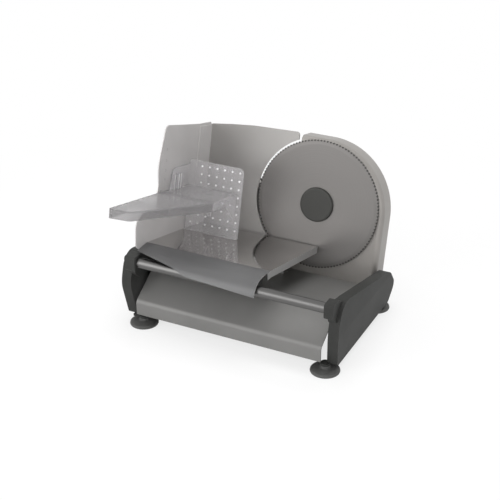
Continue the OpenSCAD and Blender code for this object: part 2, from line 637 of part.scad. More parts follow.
module gauge_carrier() color(black) tilted() difference() {
    union() {
        slab(carrier_y0, carrier_y1) polygon(frame(rod_xs[0] - 8, rod_xs[1] + 8 - 2, rod_z - 12, spindle_z + 16, 6));
        rod_y(spindle_x, spindle_z, nut_r, carrier_y1 - 1, nut_y1);
    }
    for (x = rod_xs) rod_y(x, rod_z, rod_r + fit_gap, carrier_y0 + 1.5, carrier_y1 + 1);
    rod_y(spindle_x, spindle_z, spindle_r + free_gap, carrier_y1 - 1, nut_y1 + 1);
}
module left_guide_rod() color(steel) tilted() rod_y(rod_xs[0], rod_z, rod_r, carrier_y0 + 1.5, rod_y1);
module right_guide_rod() color(steel) tilted() rod_y(rod_xs[1], rod_z, rod_r, carrier_y0 + 1.5, rod_y1);
module gauge_support() color(grey) tilted() difference() {
    bar(support_x0, support_x1) difference() {
        polygon(frame(support_y0, support_y1, deck_z, support_top, 0));
        polygon(frame(support_y0 + support_wall, support_y1 - support_wall, deck_z + support_wall,
            support_top - support_wall, 3));
    }
    for (x = rod_xs) rod_y(x, rod_z, rod_r + run_gap, support_y0 - 1, support_y1 + 1);
    rod_y(spindle_x, spindle_z, nut_r + free_gap, support_y0 - 1, support_y0 + support_wall + 1);
    rod_y(spindle_x, spindle_z, spindle_r + run_gap, support_y1 - support_wall - 1, support_y1 + 1);
    for (i = [0, 1]) translate([deck_screw_xy[i][0], deck_screw_xy[i][1], deck_z - 1])
        cylinder(r = screw_r + fit_gap, h = support_wall + 2);
}
collar_y1 = support_y1 - support_wall - 0.2;
knob_y0 = support_y1 + 0.4;
knob_y1 = knob_y0 + knob_h;
module thickness_spindle() color(steel) tilted() turned(spindle_x, spindle_z) polygon([[0, 26], [spindle_r, 26],
    [spindle_r, collar_y1 - 0.8], [spindle_r + 2.5, collar_y1 - 0.8], [spindle_r + 2.5, collar_y1],
    [spindle_r, collar_y1], [spindle_r, knob_y1 - 5], [0, knob_y1 - 5]]);
knob_flutes = 12;
module thickness_knob() color(black) tilted() difference() {
    union() {
        turned(spindle_x, spindle_z) polygon([[0, knob_y0], [knob_d / 2, knob_y0], [knob_d / 2, knob_y0 + 4],
            [knob_d / 2 - 3, knob_y0 + 6], [knob_d / 2 - 4, knob_y1 - 2], [knob_d / 2 - 6, knob_y1], [0, knob_y1]]);
    }
    for (i = [0 : knob_flutes - 1]) rod_y(spindle_x + (knob_d / 2 - 1) * cos(360 * i / knob_flutes),
        spindle_z + (knob_d / 2 - 1) * sin(360 * i / knob_flutes), 3, knob_y0 + 5, knob_y1 + 1);
    rod_y(spindle_x, spindle_z, spindle_r + fit_gap, knob_y0 - 1, knob_y1 - 5);
}

// Switches on the rear cover

rocker_y = cover_y - 2.5;
rocker_lift = cover_y + 1 - rocker_y;
pin_r = 1.8;
pin_reach = 1.6;
rocker_rest = 8;
rocker_deep = 5;
switch_y0 = 16;
switch_wall = 2;
module switch_body() color(black) tilted() difference() {
    slab(switch_y0, cover_y) translate([switch_x, switch_z])
        square([rocker_hole_w + 2 * switch_wall, rocker_hole_h + 2 * switch_wall], center = true);
    slab(rocker_y - rocker_deep, cover_y + 1) translate([switch_x, switch_z])
        square([rocker_hole_w, rocker_hole_h], center = true);
    rod_x(rocker_y, switch_z, pin_r + run_gap, switch_x - rocker_w / 2 - pin_reach - free_gap,
        switch_x + rocker_w / 2 + pin_reach + free_gap);
}
module power_rocker() color(black) tilted() translate([0, rocker_y, switch_z]) rotate([-rocker_rest, 0, 0]) {
    bar(switch_x - rocker_w / 2, switch_x + rocker_w / 2) translate([rocker_lift, 0]) polygon([[-1, -rocker_h / 2],
        [5.5, -rocker_h / 2], [4, 0], [5.5, rocker_h / 2], [-1, rocker_h / 2], [-rocker_deep, rocker_h / 2 - 4],
        [-rocker_deep, 4 - rocker_h / 2]]);
    rod_x(0, 0, pin_r, switch_x - rocker_w / 2 - pin_reach, switch_x + rocker_w / 2 + pin_reach);
}
safety_y0 = 12;
safety_y1 = 25;
module safety_switch() color(black) tilted() slab(safety_y0, safety_y1) translate([button_x, button_z])
    square([20, 11], center = true);
button_y0 = safety_y1 + button_travel + 1;
button_flange = cover_y - free_gap;
module safety_button() color(black) tilted() turned(button_x, button_z) polygon([[0, button_y0],
    [button_d / 2 + 2, button_y0], [button_d / 2 + 2, button_flange], [button_d / 2, button_flange],
    [button_d / 2, cover_rear_y + button_travel + 1], [button_d / 2 - 1, cover_rear_y + button_travel + 2],
    [0, cover_rear_y + button_travel + 2]]);

// Carriage

glide_t = 3.5;
hook_r = 24;
hook_c = [rail_y + 10, rail_z - 6];
hook_a0 = 110;
hook_a1 = 182;
hook_line = [for (i = [0 : 10]) let (a = hook_a0 + (hook_a1 - hook_a0) * i / 10)
    hook_c + hook_r * [cos(a), sin(a)]];
floor_line = [[floor_rear_y, floor_z], [floor_front_y, floor_z]];
flange_h = 10;
flange_end = floor_line[1] + (hook_line[0] - floor_line[1]) * 0.35;
cut_x = [0, 24, 42, 63, 85, 140, 190];
cut_z = [-6.5, -9.9, -12.3, -16, -23, -26, -29];
cuts = len(cut_x) - 1;
module carriage_tray() color(steel) tilted() difference() {
    union() {
        bar(tray_x0, hook_x1) polygon(sheet(concat(floor_line, hook_line), tray_t));
        bar(hook_x1 - 1, tray_x1) polygon(sheet([floor_line[0], floor_line[1], flange_end], tray_t));
        bar(tray_x1 - tray_t, tray_x1) polygon(sheet([floor_line[0], floor_line[1], flange_end], flange_h));
    }
    slab(rail_y - 2 * hook_r, floor_front_y - 4) polygon(concat(
        [for (i = [0 : cuts]) [tray_x0 + cut_x[i] - (i == 0 ? 1 : 0), floor_z + cut_z[i]]],
        [[tray_x0 + cut_x[cuts], rail_z - 2 * hook_r], [tray_x0 - 1, rail_z - 2 * hook_r]]));
}
wall_x = tray_x0 - tray_t;
wall_rear_y = -2;
wall_crease_y = -38;
wall_peak_y = floor_front_y + 29;
wall_toe_y = floor_front_y - 35;
wall_knee_z = 46;
wall_notch_z = 4;
wall_bottom = floor_z - flange_h;
module carriage_wall() color(steel) tilted() {
    bar(wall_x, tray_x0) polygon(rounded([[wall_rear_y, wall_bottom, 3], [wall_rear_y, wall_top - 8, 4],
        [wall_crease_y, wall_top - 7.6, 0], [wall_peak_y + 39, wall_top - 2.6, 60], [wall_peak_y, wall_top + 1, 10],
        [wall_peak_y - 14, wall_knee_z, 60], [wall_peak_y - 6, wall_notch_z, 24], [wall_toe_y, wall_notch_z - 28, 16],
        [wall_toe_y + 5, wall_bottom + 8, 12], [floor_front_y - 12, wall_bottom, 8]]));
    bar(tray_x0 - 0.5, tray_x0 + 1) polygon([[wall_rear_y, floor_z + 0.1], [wall_rear_y, wall_top - 12],
        [wall_crease_y, wall_top - 11.6], [wall_crease_y, floor_z + 0.1]]);
}
module glide(x0, x1) color(black) tilted() bar(x0, x1) difference() {
    intersection() {
        translate(hook_c) circle(r = hook_r - tray_t - fit_gap);
        translate([hook_c[0] - hook_r, rail_z + 0.5]) square([hook_r + glide_t, hook_r]);
    }
    translate([rail_y, rail_z]) circle(r = rail_r + run_gap);
}
glide_w = 30;
left_glide_x = tray_x0 + 0.45 * tray_w;
module left_glide() glide(left_glide_x, left_glide_x + glide_w);
module right_glide() glide(hook_x1 - 2 - glide_w, hook_x1 - 2);
shoe_x0 = tray_x0 + 14;
shoe_w = 68;
shoe_x1 = shoe_x0 + shoe_w;
shoe_wall = 3;
shoe_bottom = deck_z + 13;
module rear_shoe() color(black) tilted() bar(shoe_x0, shoe_x1) difference() {
    polygon(frame(guide_y0 - free_gap - shoe_wall, guide_y1 + free_gap + shoe_wall, shoe_bottom,
        floor_z - tray_t, 0));
    polygon(frame(guide_y0 - free_gap, guide_y1 + free_gap, shoe_bottom - 1, guide_top + free_gap, 0));
}

// Pusher: a spiked plate with a hand tongue that runs inside the end wall
pusher_y = -62.7;
pusher_x0 = tray_x0 + 2.2;
pusher_x1 = pusher_x0 + pusher_w;
pusher_bottom = floor_z + 0.5;
spike_cols = 7;
spike_rows = 8;
tongue_x1 = pusher_x0 + tongue_w;
tongue_tip_x1 = pusher_x0 + tongue_tip_w;
tongue_y = -tongue_front;
tip_skew = 5;
tip_r = 3;
shoulder_y = -145.5;
tongue_web_y = -211;
tongue_web_x1 = tongue_tip_x1 + 0.47 * (tongue_x1 - tongue_tip_x1);
tongue_bottom_z = tongue_top_z - skirt_h;
gusset_bottom = -33;
gusset_reach = 36;
finger_guard_top = 38;
finger_guard_y = -122;
guard_ribs = [3, 14, 21];
guard_rib_top = 31;
module food_pusher() color(clear) tilted() union() {
    slab(pusher_y - pusher_t, pusher_y) polygon(rounded([[pusher_x0, pusher_bottom, 2],
        [pusher_x1, pusher_bottom, 2], [pusher_x1, pusher_top, 8], [pusher_x0, pusher_top, 3]]));
    for (i = [0 : spike_cols - 1], j = [0 : spike_rows - (i == 0 ? 4 : 1)])
        translate([pusher_x0 + 7.8 + i * spike_pitch, pusher_y - 0.5, -48.4 + j * spike_pitch])
            rotate([-90, 0, 0]) cylinder(r1 = 1.9, r2 = 0.5, h = spike_h + 0.5, $fn = 16);
    translate([0, 0, tongue_bottom_z]) difference() {
        linear_extrude(skirt_h) polygon(rounded([[pusher_x0, pusher_y - 1, 0],
            [pusher_x0, tongue_y - 0.18 * tip_r, tip_r], [tongue_tip_x1, tongue_y + tip_skew, 8],
            [tongue_x1, shoulder_y, 20], [tongue_x1, pusher_y - 1, 0]]));
        translate([0, 0, -1]) linear_extrude(skirt_h - pusher_t + 1) polygon(rounded([
            [pusher_x0 + pusher_t, pusher_y - pusher_t, 0], [pusher_x0 + pusher_t, tongue_y + 1.2 * pusher_t, 1],
            [tongue_tip_x1 - 0.9 * pusher_t, tongue_y + tip_skew + pusher_t, 6],
            [tongue_x1 - pusher_t, shoulder_y + 0.6, 18], [tongue_x1 - pusher_t, pusher_y - pusher_t, 0]]));
    }
    slab(tongue_web_y - 1, tongue_web_y + 1) polygon([[pusher_x0 + 1, tongue_bottom_z],
        [tongue_web_x1, tongue_bottom_z], [tongue_web_x1, tongue_top_z - 1], [pusher_x0 + 1, tongue_top_z - 1]]);
    slab(shoulder_y - 1.5, shoulder_y + 1.5) polygon([[pusher_x0, tongue_top_z - 1],
        [tongue_x1 - 1, tongue_top_z - 1], [tongue_x1 - 1, tongue_top_z + 2], [pusher_x0, tongue_top_z + 2]]);
    for (x = [pusher_x0, (pusher_x0 + tongue_x1 - pusher_t) / 2, tongue_x1 - pusher_t]) bar(x, x + pusher_t)
        polygon([[pusher_y - 1, tongue_top_z - 1], [pusher_y - 1, gusset_bottom],
            [pusher_y - pusher_t - 4, gusset_bottom], [pusher_y - gusset_reach, tongue_top_z - skirt_h],
            [pusher_y - gusset_reach, tongue_top_z - 1]]);
    bar(pusher_x0, pusher_x0 + 2) polygon(rounded([[finger_guard_y, tongue_top_z - 1, 0],
        [pusher_y - 1, tongue_top_z - 1, 0], [pusher_y - 1, finger_guard_top, 0],
        [finger_guard_y + 6, finger_guard_top, 8]]));
    for (d = guard_ribs) translate([pusher_x0, finger_guard_y + d, tongue_top_z - 1])
        cube([7, 2, guard_rib_top - tongue_top_z]);
}

base_deck();
left_leg();
right_leg();
leg_screws();
deck_screws();
front_left_foot();
front_right_foot();
rear_left_foot();
rear_right_foot();
front_rail();
rear_guide();
main_housing();
rear_cover();
cover_screws();
gear_plate();
gear_plate_screws();
front_bush();
rear_bush();
blade();
blade_shaft();
blade_gear();
hub_cap();
idler_gear();
idler_axle();
motor_can();
motor_end_cap();
motor_screws();
motor_shaft();
motor_pinion();
cooling_fan();
gauge_plate();
gauge_carrier();
left_guide_rod();
right_guide_rod();
gauge_support();
thickness_spindle();
thickness_knob();
switch_body();
power_rocker();
safety_switch();
safety_button();
cord_grommet();
carriage_tray();
carriage_wall();
left_glide();
right_glide();
rear_shoe();
food_pusher();
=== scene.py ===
import json
import math
import bmesh
import bpy
from mathutils import Matrix, Vector


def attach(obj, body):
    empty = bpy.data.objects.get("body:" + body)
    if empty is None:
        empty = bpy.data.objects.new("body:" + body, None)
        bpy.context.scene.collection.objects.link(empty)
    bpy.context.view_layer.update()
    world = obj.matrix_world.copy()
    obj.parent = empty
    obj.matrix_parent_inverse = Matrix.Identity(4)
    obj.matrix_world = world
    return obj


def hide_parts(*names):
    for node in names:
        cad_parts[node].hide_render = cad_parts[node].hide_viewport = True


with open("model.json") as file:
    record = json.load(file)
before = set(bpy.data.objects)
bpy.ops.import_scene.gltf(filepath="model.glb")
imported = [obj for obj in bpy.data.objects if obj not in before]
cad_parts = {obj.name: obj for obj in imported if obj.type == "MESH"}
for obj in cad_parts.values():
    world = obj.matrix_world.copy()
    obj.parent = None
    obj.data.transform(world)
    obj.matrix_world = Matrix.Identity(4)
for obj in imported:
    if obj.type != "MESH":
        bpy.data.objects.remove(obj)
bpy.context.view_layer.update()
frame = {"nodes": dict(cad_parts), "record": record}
nodes = frame["nodes"]
scene = bpy.context.scene
scene.view_settings.view_transform = "Standard"
mm = 0.001
mergeDistance = 1e-6
shadeSpan = (0.3, 0.7)  # share of the noise over which a shade runs from dark to light

# Tilted frame of the blade, the same as in the CAD
bladeFrame = {"centre": (0.0415, 0.100821, 0.1375), "tilt": 13}
bladeCentre = Vector(bladeFrame["centre"])
tilt = math.radians(bladeFrame["tilt"])
tilted = Matrix.Translation(bladeCentre) @ Matrix.Rotation(-tilt, 4, "X")
toTilted = tilted.inverted()

# Camera of the photograph
photoCamera = {"right": (0.8960, 0.4442, 0.0), "back": (0.3946, -0.7959, 0.4593),
               "fromBlade": (0.5834, -1.3962, 0.7062), "lens": 82.4, "sensor": 36}
cameraData = bpy.data.cameras.new("camera")
cameraData.lens = photoCamera["lens"]
cameraData.sensor_width = photoCamera["sensor"]
camera = bpy.data.objects.new("camera", cameraData)
scene.collection.objects.link(camera)
camBack = Vector(photoCamera["back"]).normalized()
camRight = Vector(photoCamera["right"])
camRight = (camRight - camBack * camRight.dot(camBack)).normalized()
camUp = camBack.cross(camRight)
camTurn = Matrix((camRight, camUp, camBack)).transposed().to_4x4()
camera.matrix_world = Matrix.Translation(bladeCentre + Vector(photoCamera["fromBlade"])) @ camTurn
scene.camera = camera
print("camera done")


# Materials

def newMaterial(name):
    material = bpy.data.materials.new(name)
    material.use_nodes = True
    tree = material.node_tree
    return material, tree.nodes, tree.links, tree.nodes["Principled BSDF"]


def mathNode(treeNodes, links, operation, first, second=None):
    node = treeNodes.new("ShaderNodeMath")
    node.operation = operation
    for socket, value in zip(node.inputs, (first, second)):
        if isinstance(value, (int, float)):
            socket.default_value = value
        elif value is not None:
            links.new(value, socket)
    return node.outputs["Value"]


def ramp(treeNodes, colourLow, colourHigh):
    node = treeNodes.new("ShaderNodeValToRGB")
    node.color_ramp.elements[0].position = shadeSpan[0]
    node.color_ramp.elements[1].position = shadeSpan[1]
    node.color_ramp.elements[0].color = (*colourLow, 1)
    node.color_ramp.elements[1].color = (*colourHigh, 1)
    return node


def noise(treeNodes, links, scale, detail=3, stretch=None):
    coord = treeNodes.new("ShaderNodeTexCoord")
    node = treeNodes.new("ShaderNodeTexNoise")
    node.inputs["Scale"].default_value = scale
    node.inputs["Detail"].default_value = detail
    if stretch:
        mapping = treeNodes.new("ShaderNodeMapping")
        mapping.inputs["Rotation"].default_value = (tilt, 0, 0)
        mapping.inputs["Scale"].default_value = stretch
        links.new(coord.outputs["Object"], mapping.inputs["Vector"])
        links.new(mapping.outputs["Vector"], node.inputs["Vector"])
    else:
        links.new(coord.outputs["Object"], node.inputs["Vector"])
    return node


def span(treeNodes, links, source, low, high):
    node = treeNodes.new("ShaderNodeMapRange")
    node.inputs["To Min"].default_value = low
    node.inputs["To Max"].default_value = high
    links.new(source, node.inputs["Value"])
    return node.outputs["Result"]


def bumpNode(treeNodes, links, shader, source, strength, distance):
    bump = treeNodes.new("ShaderNodeBump")
    bump.inputs["Strength"].default_value = strength
    bump.inputs["Distance"].default_value = distance
    links.new(source, bump.inputs["Height"])
    links.new(bump.outputs["Normal"], shader.inputs["Normal"])


def surface(name, colour, rough, metallic=0.0, vary=0.08, grain=900, grainBump=0.05, cloud=14,
            roughVary=0.06, stretch=None, specular=0.5):
    # Cloudy colour with a fine grain in roughness and bump; stretch draws the grain out into brushing
    material, treeNodes, links, shader = newMaterial(name)
    clouds = noise(treeNodes, links, cloud, 4)
    darker = [c * (1 - vary) for c in colour]
    lighter = [c * (1 + vary) for c in colour]
    shade = ramp(treeNodes, darker, lighter)
    links.new(clouds.outputs["Fac"], shade.inputs["Fac"])
    links.new(shade.outputs["Color"], shader.inputs["Base Color"])
    fine = noise(treeNodes, links, grain, 2, stretch)
    links.new(span(treeNodes, links, fine.outputs["Fac"], rough - roughVary, rough + roughVary),
              shader.inputs["Roughness"])
    bumpNode(treeNodes, links, shader, fine.outputs["Fac"], grainBump, 0.4 * mm)
    shader.inputs["Metallic"].default_value = metallic
    shader.inputs["Specular IOR Level"].default_value = specular
    return material


# Stretch of the brushing, along the rail and along the end wall
alongRail = (0.6, 40, 40)
alongWall = (40, 0.6, 40)

finishes = {
    "deckPaint": {"colour": (0.165, 0.163, 0.158), "rough": 0.45, "metallic": 0.2, "grain": 700},
    "silverPlastic": {"colour": (0.285, 0.27, 0.255), "rough": 0.4, "metallic": 0.3, "grain": 1400,
                      "grainBump": 0.04},
    "blackPlastic": {"colour": (0.037, 0.0375, 0.036), "rough": 0.52, "vary": 0.15, "grain": 1600,
                     "grainBump": 0.25, "specular": 0.1},
    "hubPlastic": {"colour": (0.03, 0.03, 0.027), "rough": 0.6, "vary": 0.1, "grain": 1600,
                   "grainBump": 0.2},
    "footRubber": {"colour": (0.065, 0.065, 0.063), "rough": 0.6, "vary": 0.2, "grain": 1200,
                   "grainBump": 0.2},
    "railChrome": {"colour": (0.14, 0.138, 0.136), "rough": 0.36, "metallic": 1.0, "vary": 0.03,
                   "grainBump": 0.01, "roughVary": 0.03},
    "traySteel": {"colour": (0.59, 0.58, 0.57), "rough": 0.1, "metallic": 1.0, "vary": 0.04, "grain": 60,
                  "stretch": alongRail, "grainBump": 0.003, "roughVary": 0.02},
    "apronSteel": {"colour": (0.112, 0.112, 0.113), "rough": 0.42, "metallic": 0.3, "vary": 0.05,
                   "grain": 60, "stretch": alongRail, "grainBump": 0.02},
    "rimSteel": {"colour": (0.42, 0.415, 0.41), "rough": 0.4, "metallic": 0.3, "vary": 0.05},
    "wallSteel": {"colour": (0.54, 0.525, 0.52), "rough": 0.42, "metallic": 0.15, "vary": 0.05, "grain": 60,
                  "stretch": alongWall, "grainBump": 0.03},
    "gaugeMetal": {"colour": (0.31, 0.3, 0.29), "rough": 0.42, "metallic": 0.35, "vary": 0.05, "grain": 60,
                   "stretch": alongRail, "grainBump": 0.03},
    "zincSteel": {"colour": (0.5, 0.5, 0.49), "rough": 0.3, "metallic": 1.0, "grainBump": 0.03},
    "nylon": {"colour": (0.7, 0.68, 0.62), "rough": 0.5, "vary": 0.04},
    "brass": {"colour": (0.6, 0.44, 0.18), "rough": 0.28, "metallic": 1.0},
    # Darker than the wall steel: painted shade for the hollows of the wall's dimples
    "dimpleShadedSteel": {"colour": (0.4, 0.39, 0.385), "rough": 0.45, "metallic": 0.15, "vary": 0.05},
    "markPaint": {"colour": (0.72, 0.72, 0.7), "rough": 0.6, "vary": 0.05, "grainBump": 0.1},
    # Near-black colour of the painted shade in the screw heads' cross recesses
    "recessShade": {"colour": (0.03, 0.03, 0.03), "rough": 0.6, "vary": 0.2}}
finish = {name: surface(name, **look) for name, look in finishes.items()}

# The darkest colour here is painted shade between the teeth at the blade's rim
bladeLook = {"dark": (0.155, 0.148, 0.142), "light": (0.169, 0.161, 0.155), "rings": 900,
             "rough": (0.36, 0.46), "metallic": 0.45, "bump": 0.03, "teeth": 120,
             "gulletShade": (0.035, 0.033, 0.03),
             "gulletDepth": 0.0011, "rimFrom": 0.0931, "rimTo": 0.0937}


def bladeMaterial():
    # Concentric grinding marks round the blade's axis, and painted shade between the teeth at the rim
    material, treeNodes, links, shader = newMaterial("bladeSteel")
    coord = treeNodes.new("ShaderNodeTexCoord")
    shift = treeNodes.new("ShaderNodeVectorMath")
    shift.operation = "SUBTRACT"
    shift.inputs[1].default_value = bladeCentre
    turn = treeNodes.new("ShaderNodeMapping")
    turn.inputs["Rotation"].default_value = (tilt, 0, 0)
    flat = treeNodes.new("ShaderNodeVectorMath")
    flat.operation = "MULTIPLY"
    flat.inputs[1].default_value = (1, 0, 1)
    radius = treeNodes.new("ShaderNodeVectorMath")
    radius.operation = "LENGTH"
    links.new(coord.outputs["Object"], shift.inputs[0])
    links.new(shift.outputs["Vector"], turn.inputs["Vector"])
    links.new(turn.outputs["Vector"], flat.inputs[0])
    links.new(flat.outputs["Vector"], radius.inputs[0])
    rings = treeNodes.new("ShaderNodeTexNoise")
    rings.noise_dimensions = "1D"
    rings.inputs["Scale"].default_value = bladeLook["rings"]
    rings.inputs["Detail"].default_value = 3
    links.new(radius.outputs["Value"], rings.inputs["W"])
    shade = ramp(treeNodes, bladeLook["dark"], bladeLook["light"])
    links.new(rings.outputs["Fac"], shade.inputs["Fac"])
    # Painted shade at the rim: dark spots between the teeth stand in for the shadow behind the blade's
    # scalloped edge
    parts = treeNodes.new("ShaderNodeSeparateXYZ")
    links.new(turn.outputs["Vector"], parts.inputs["Vector"])
    angle = mathNode(treeNodes, links, "ARCTAN2", parts.outputs["Z"], parts.outputs["X"])
    turns = mathNode(treeNodes, links, "MULTIPLY", angle, bladeLook["teeth"])
    wave = mathNode(treeNodes, links, "COSINE", turns)
    reach = mathNode(treeNodes, links, "MULTIPLY", wave, bladeLook["gulletDepth"])
    edge = mathNode(treeNodes, links, "ADD", radius.outputs["Value"], reach)
    rim = treeNodes.new("ShaderNodeMapRange")
    rim.inputs["From Min"].default_value = bladeLook["rimFrom"]
    rim.inputs["From Max"].default_value = bladeLook["rimTo"]
    links.new(edge, rim.inputs["Value"])
    gulletShadeMix = treeNodes.new("ShaderNodeMix")
    gulletShadeMix.data_type = "RGBA"
    gulletShadeMix.inputs["B"].default_value = (*bladeLook["gulletShade"], 1)
    links.new(rim.outputs["Result"], gulletShadeMix.inputs["Factor"])
    links.new(shade.outputs["Color"], gulletShadeMix.inputs["A"])
    links.new(gulletShadeMix.outputs["Result"], shader.inputs["Base Color"])
    links.new(span(treeNodes, links, rings.outputs["Fac"], *bladeLook["rough"]), shader.inputs["Roughness"])
    bumpNode(treeNodes, links, shader, rings.outputs["Fac"], bladeLook["bump"], 0.2 * mm)
    shader.inputs["Metallic"].default_value = bladeLook["metallic"]
    return material


def clearMaterial(name, colour, rough, transmission, ior=1.15, shadow=0.8, hazeScale=30):
    material, treeNodes, links, shader = newMaterial(name)
    clouds = noise(treeNodes, links, hazeScale)
    links.new(span(treeNodes, links, clouds.outputs["Fac"], rough * 0.7, rough * 1.4),
              shader.inputs["Roughness"])
    shader.inputs["Base Color"].default_value = (*colour, 1)
    shader.inputs["Transmission Weight"].default_value = transmission
    shader.inputs["IOR"].default_value = ior
    # Light passes through to what lies behind
    through = treeNodes.new("ShaderNodeBsdfTransparent")
    through.inputs["Color"].default_value = (shadow, shadow, shadow, 1)
    path = treeNodes.new("ShaderNodeLightPath")
    mix = treeNodes.new("ShaderNodeMixShader")
    links.new(path.outputs["Is Shadow Ray"], mix.inputs["Fac"])
    links.new(shader.outputs["BSDF"], mix.inputs[1])
    links.new(through.outputs["BSDF"], mix.inputs[2])
    links.new(mix.outputs["Shader"], treeNodes["Material Output"].inputs["Surface"])
    return material


pusherLooks = {
    "clearPlastic": {"colour": (0.8, 0.79, 0.8), "rough": 0.1, "transmission": 0.84},
    "hazePlastic": {"colour": (0.42, 0.412, 0.416), "rough": 0.2, "transmission": 0.72},
    # Whitened, less clear plastic on the spikes and one rib face: painted highlight for their glints
    "spikeWhite": {"colour": (0.88, 0.88, 0.88), "rough": 0.3, "transmission": 0.2}}
finish["bladeSteel"] = bladeMaterial()
for name, look in pusherLooks.items():
    finish[name] = clearMaterial(name, **look)

slotFinish = {
    "deck_grey": "deckPaint", "silver_plastic": "silverPlastic", "black_plastic": "blackPlastic",
    "hub_black": "hubPlastic", "foot_rubber": "footRubber", "rail_chrome": "railChrome",
    "tray_steel": "traySteel", "wall_steel": "wallSteel", "blade_steel": "bladeSteel",
    "gauge_alu": "gaugeMetal", "clear_plastic": "clearPlastic", "zinc_steel": "zincSteel",
    "gear_nylon": "nylon", "brass": "brass"}
nodeSlot = {s["node"]: s["material_slot"] for s in frame["record"]["subparts"]}
nodeBody = {n: b for b, members in frame["record"]["behaviour"]["bodies"].items() for n in members}
for name, node in nodes.items():
    node.data.materials.clear()
    node.data.materials.append(finish[slotFinish[nodeSlot[name]]])
print("materials done")


# Visible pieces with softened edges in place of the sharp CAD solids

def softened(nodeName, width, segments=2, angle=35, flatAngle=0.5):
    mesh = nodes[nodeName].data.copy()
    piece = bpy.data.objects.new(nodeName + "Soft", mesh)
    scene.collection.objects.link(piece)
    work = bmesh.new()
    work.from_mesh(mesh)
    bmesh.ops.remove_doubles(work, verts=work.verts, dist=mergeDistance)
    bmesh.ops.dissolve_limit(work, angle_limit=math.radians(flatAngle), verts=work.verts, edges=work.edges)
    for face in work.faces:
        face.smooth = True
    for edge in work.edges:
        edge.smooth = not (edge.is_manifold and edge.calc_face_angle() > math.radians(angle))
    work.to_mesh(mesh)
    work.free()
    if mesh.has_custom_normals:
        bpy.context.view_layer.objects.active = piece
        with bpy.context.temp_override(object=piece, active_object=piece):
            bpy.ops.mesh.customdata_custom_splitnormals_clear()
    bevel = piece.modifiers.new("bevel", "BEVEL")
    bevel.width = width * mm
    bevel.segments = segments
    bevel.limit_method = "ANGLE"
    bevel.angle_limit = math.radians(angle)
    bevel.harden_normals = True
    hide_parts(nodeName)
    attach(piece, nodeBody[nodeName])
    return piece


edgeWidths = {"base_deck": 0.8, "left_leg": 1.6, "right_leg": 1.6, "rear_cover": 0.6, "gauge_plate": 0.7,
              "carriage_wall": 0.35, "carriage_tray": 0.35, "food_pusher": 0.5, "gauge_support": 0.6,
              "power_rocker": 0.6}
soft = {name: softened(name, width) for name, width in edgeWidths.items()}


def secondFinish(nodeName, finishName, chosen):
    # Faces picked by their place in the tilted frame, in mm, and their normal
    piece = soft[nodeName]
    piece.data.materials.append(finish[finishName])
    for face in piece.data.polygons:
        if chosen(toTilted @ face.center / mm, face.normal):
            face.material_index = len(piece.data.materials) - 1


trayZones = {"apronFront": -170, "rimNormal": 0.8}
secondFinish("carriage_tray", "apronSteel", lambda place, normal: place.y < trayZones["apronFront"])
secondFinish("carriage_tray", "rimSteel", lambda place, normal: abs(normal.x) > trayZones["rimNormal"])

pusherZones = {"tongueY": -66.5, "tongueZ": (-6, 10.6), "spikesY": -62.4, "ribX": (-177.6, -172),
               "ribY": (-121, -97), "ribZ": 9, "ribNormal": 0.8}


def between(value, limits):
    return limits[0] < value < limits[1]


def onTongue(place, normal):
    return place.y < pusherZones["tongueY"] and between(place.z, pusherZones["tongueZ"])


# Spike faces and the rib face turned to +x, which get the whitened plastic as a painted highlight
def onSpikeOrRib(place, normal):
    onRib = (between(place.y, pusherZones["ribY"]) and place.z > pusherZones["ribZ"]
             and between(place.x, pusherZones["ribX"]) and normal.x > pusherZones["ribNormal"])
    return place.y > pusherZones["spikesY"] or onRib


secondFinish("food_pusher", "hazePlastic", onTongue)
secondFinish("food_pusher", "spikeWhite", onSpikeOrRib)
print("soft edges done")


# Small details

def detail(name, work, place, finishName, nodeName):
    # A bmesh drawn in mm in a local frame, laid at the matrix place of the tilted frame
    mesh = bpy.data.meshes.new(name)
    for vert in work.verts:
        vert.co = tilted @ (Matrix.Scale(mm, 4) @ (place @ vert.co))
    bmesh.ops.recalc_face_normals(work, faces=work.faces)
    work.to_mesh(mesh)
    work.free()
    mesh.materials.append(finish[finishName])
    piece = bpy.data.objects.new(name, mesh)
    scene.collection.objects.link(piece)
    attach(piece, nodeBody[nodeName])


def bridge(work, first, second):
    # Quads between two closed loops
    for i in range(len(first)):
        j = (i + 1) % len(first)
        work.faces.new((first[i], first[j], second[j], second[i]))


def drawOutline(work, points, thick, topShare=0.97):
    # Flat outline in x and y with a thickness along z and a narrower top
    middle = sum((Vector(p) for p in points), Vector((0, 0))) / len(points)
    inner = [middle + (Vector(p) - middle) * topShare for p in points]
    low = [work.verts.new((p[0], p[1], -thick)) for p in points]
    high = [work.verts.new((p.x, p.y, thick)) for p in inner]
    work.faces.new(low)
    work.faces.new(high)
    bridge(work, low, high)


def circle(work, radius, height, steps, centre=(0, 0)):
    turns = [2 * math.pi * i / steps for i in range(steps)]
    return [work.verts.new((centre[0] + radius * math.cos(t), centre[1] + radius * math.sin(t), height))
            for t in turns]


def drawRing(work, inner, outer, thick, steps=40):
    loops = [circle(work, radius, height, steps)
             for radius, height in ((inner, -thick), (inner, thick), (outer, thick), (outer, -thick))]
    for i in range(4):
        bridge(work, loops[i], loops[(i + 1) % 4])


def drawDimple(work, radius, rise, centre, steps=24):
    # Shallow round rim with a sunk middle
    profile = ((1, 0), (0.9, 1), (0.75, 0.7), (0.4, -0.4), (0.15, -0.5))
    loops = [circle(work, radius * out, rise * up, steps, centre) for out, up in profile]
    for first, second in zip(loops, loops[1:]):
        bridge(work, first, second)
    work.faces.new(loops[-1])
    for face in work.faces:
        face.smooth = True


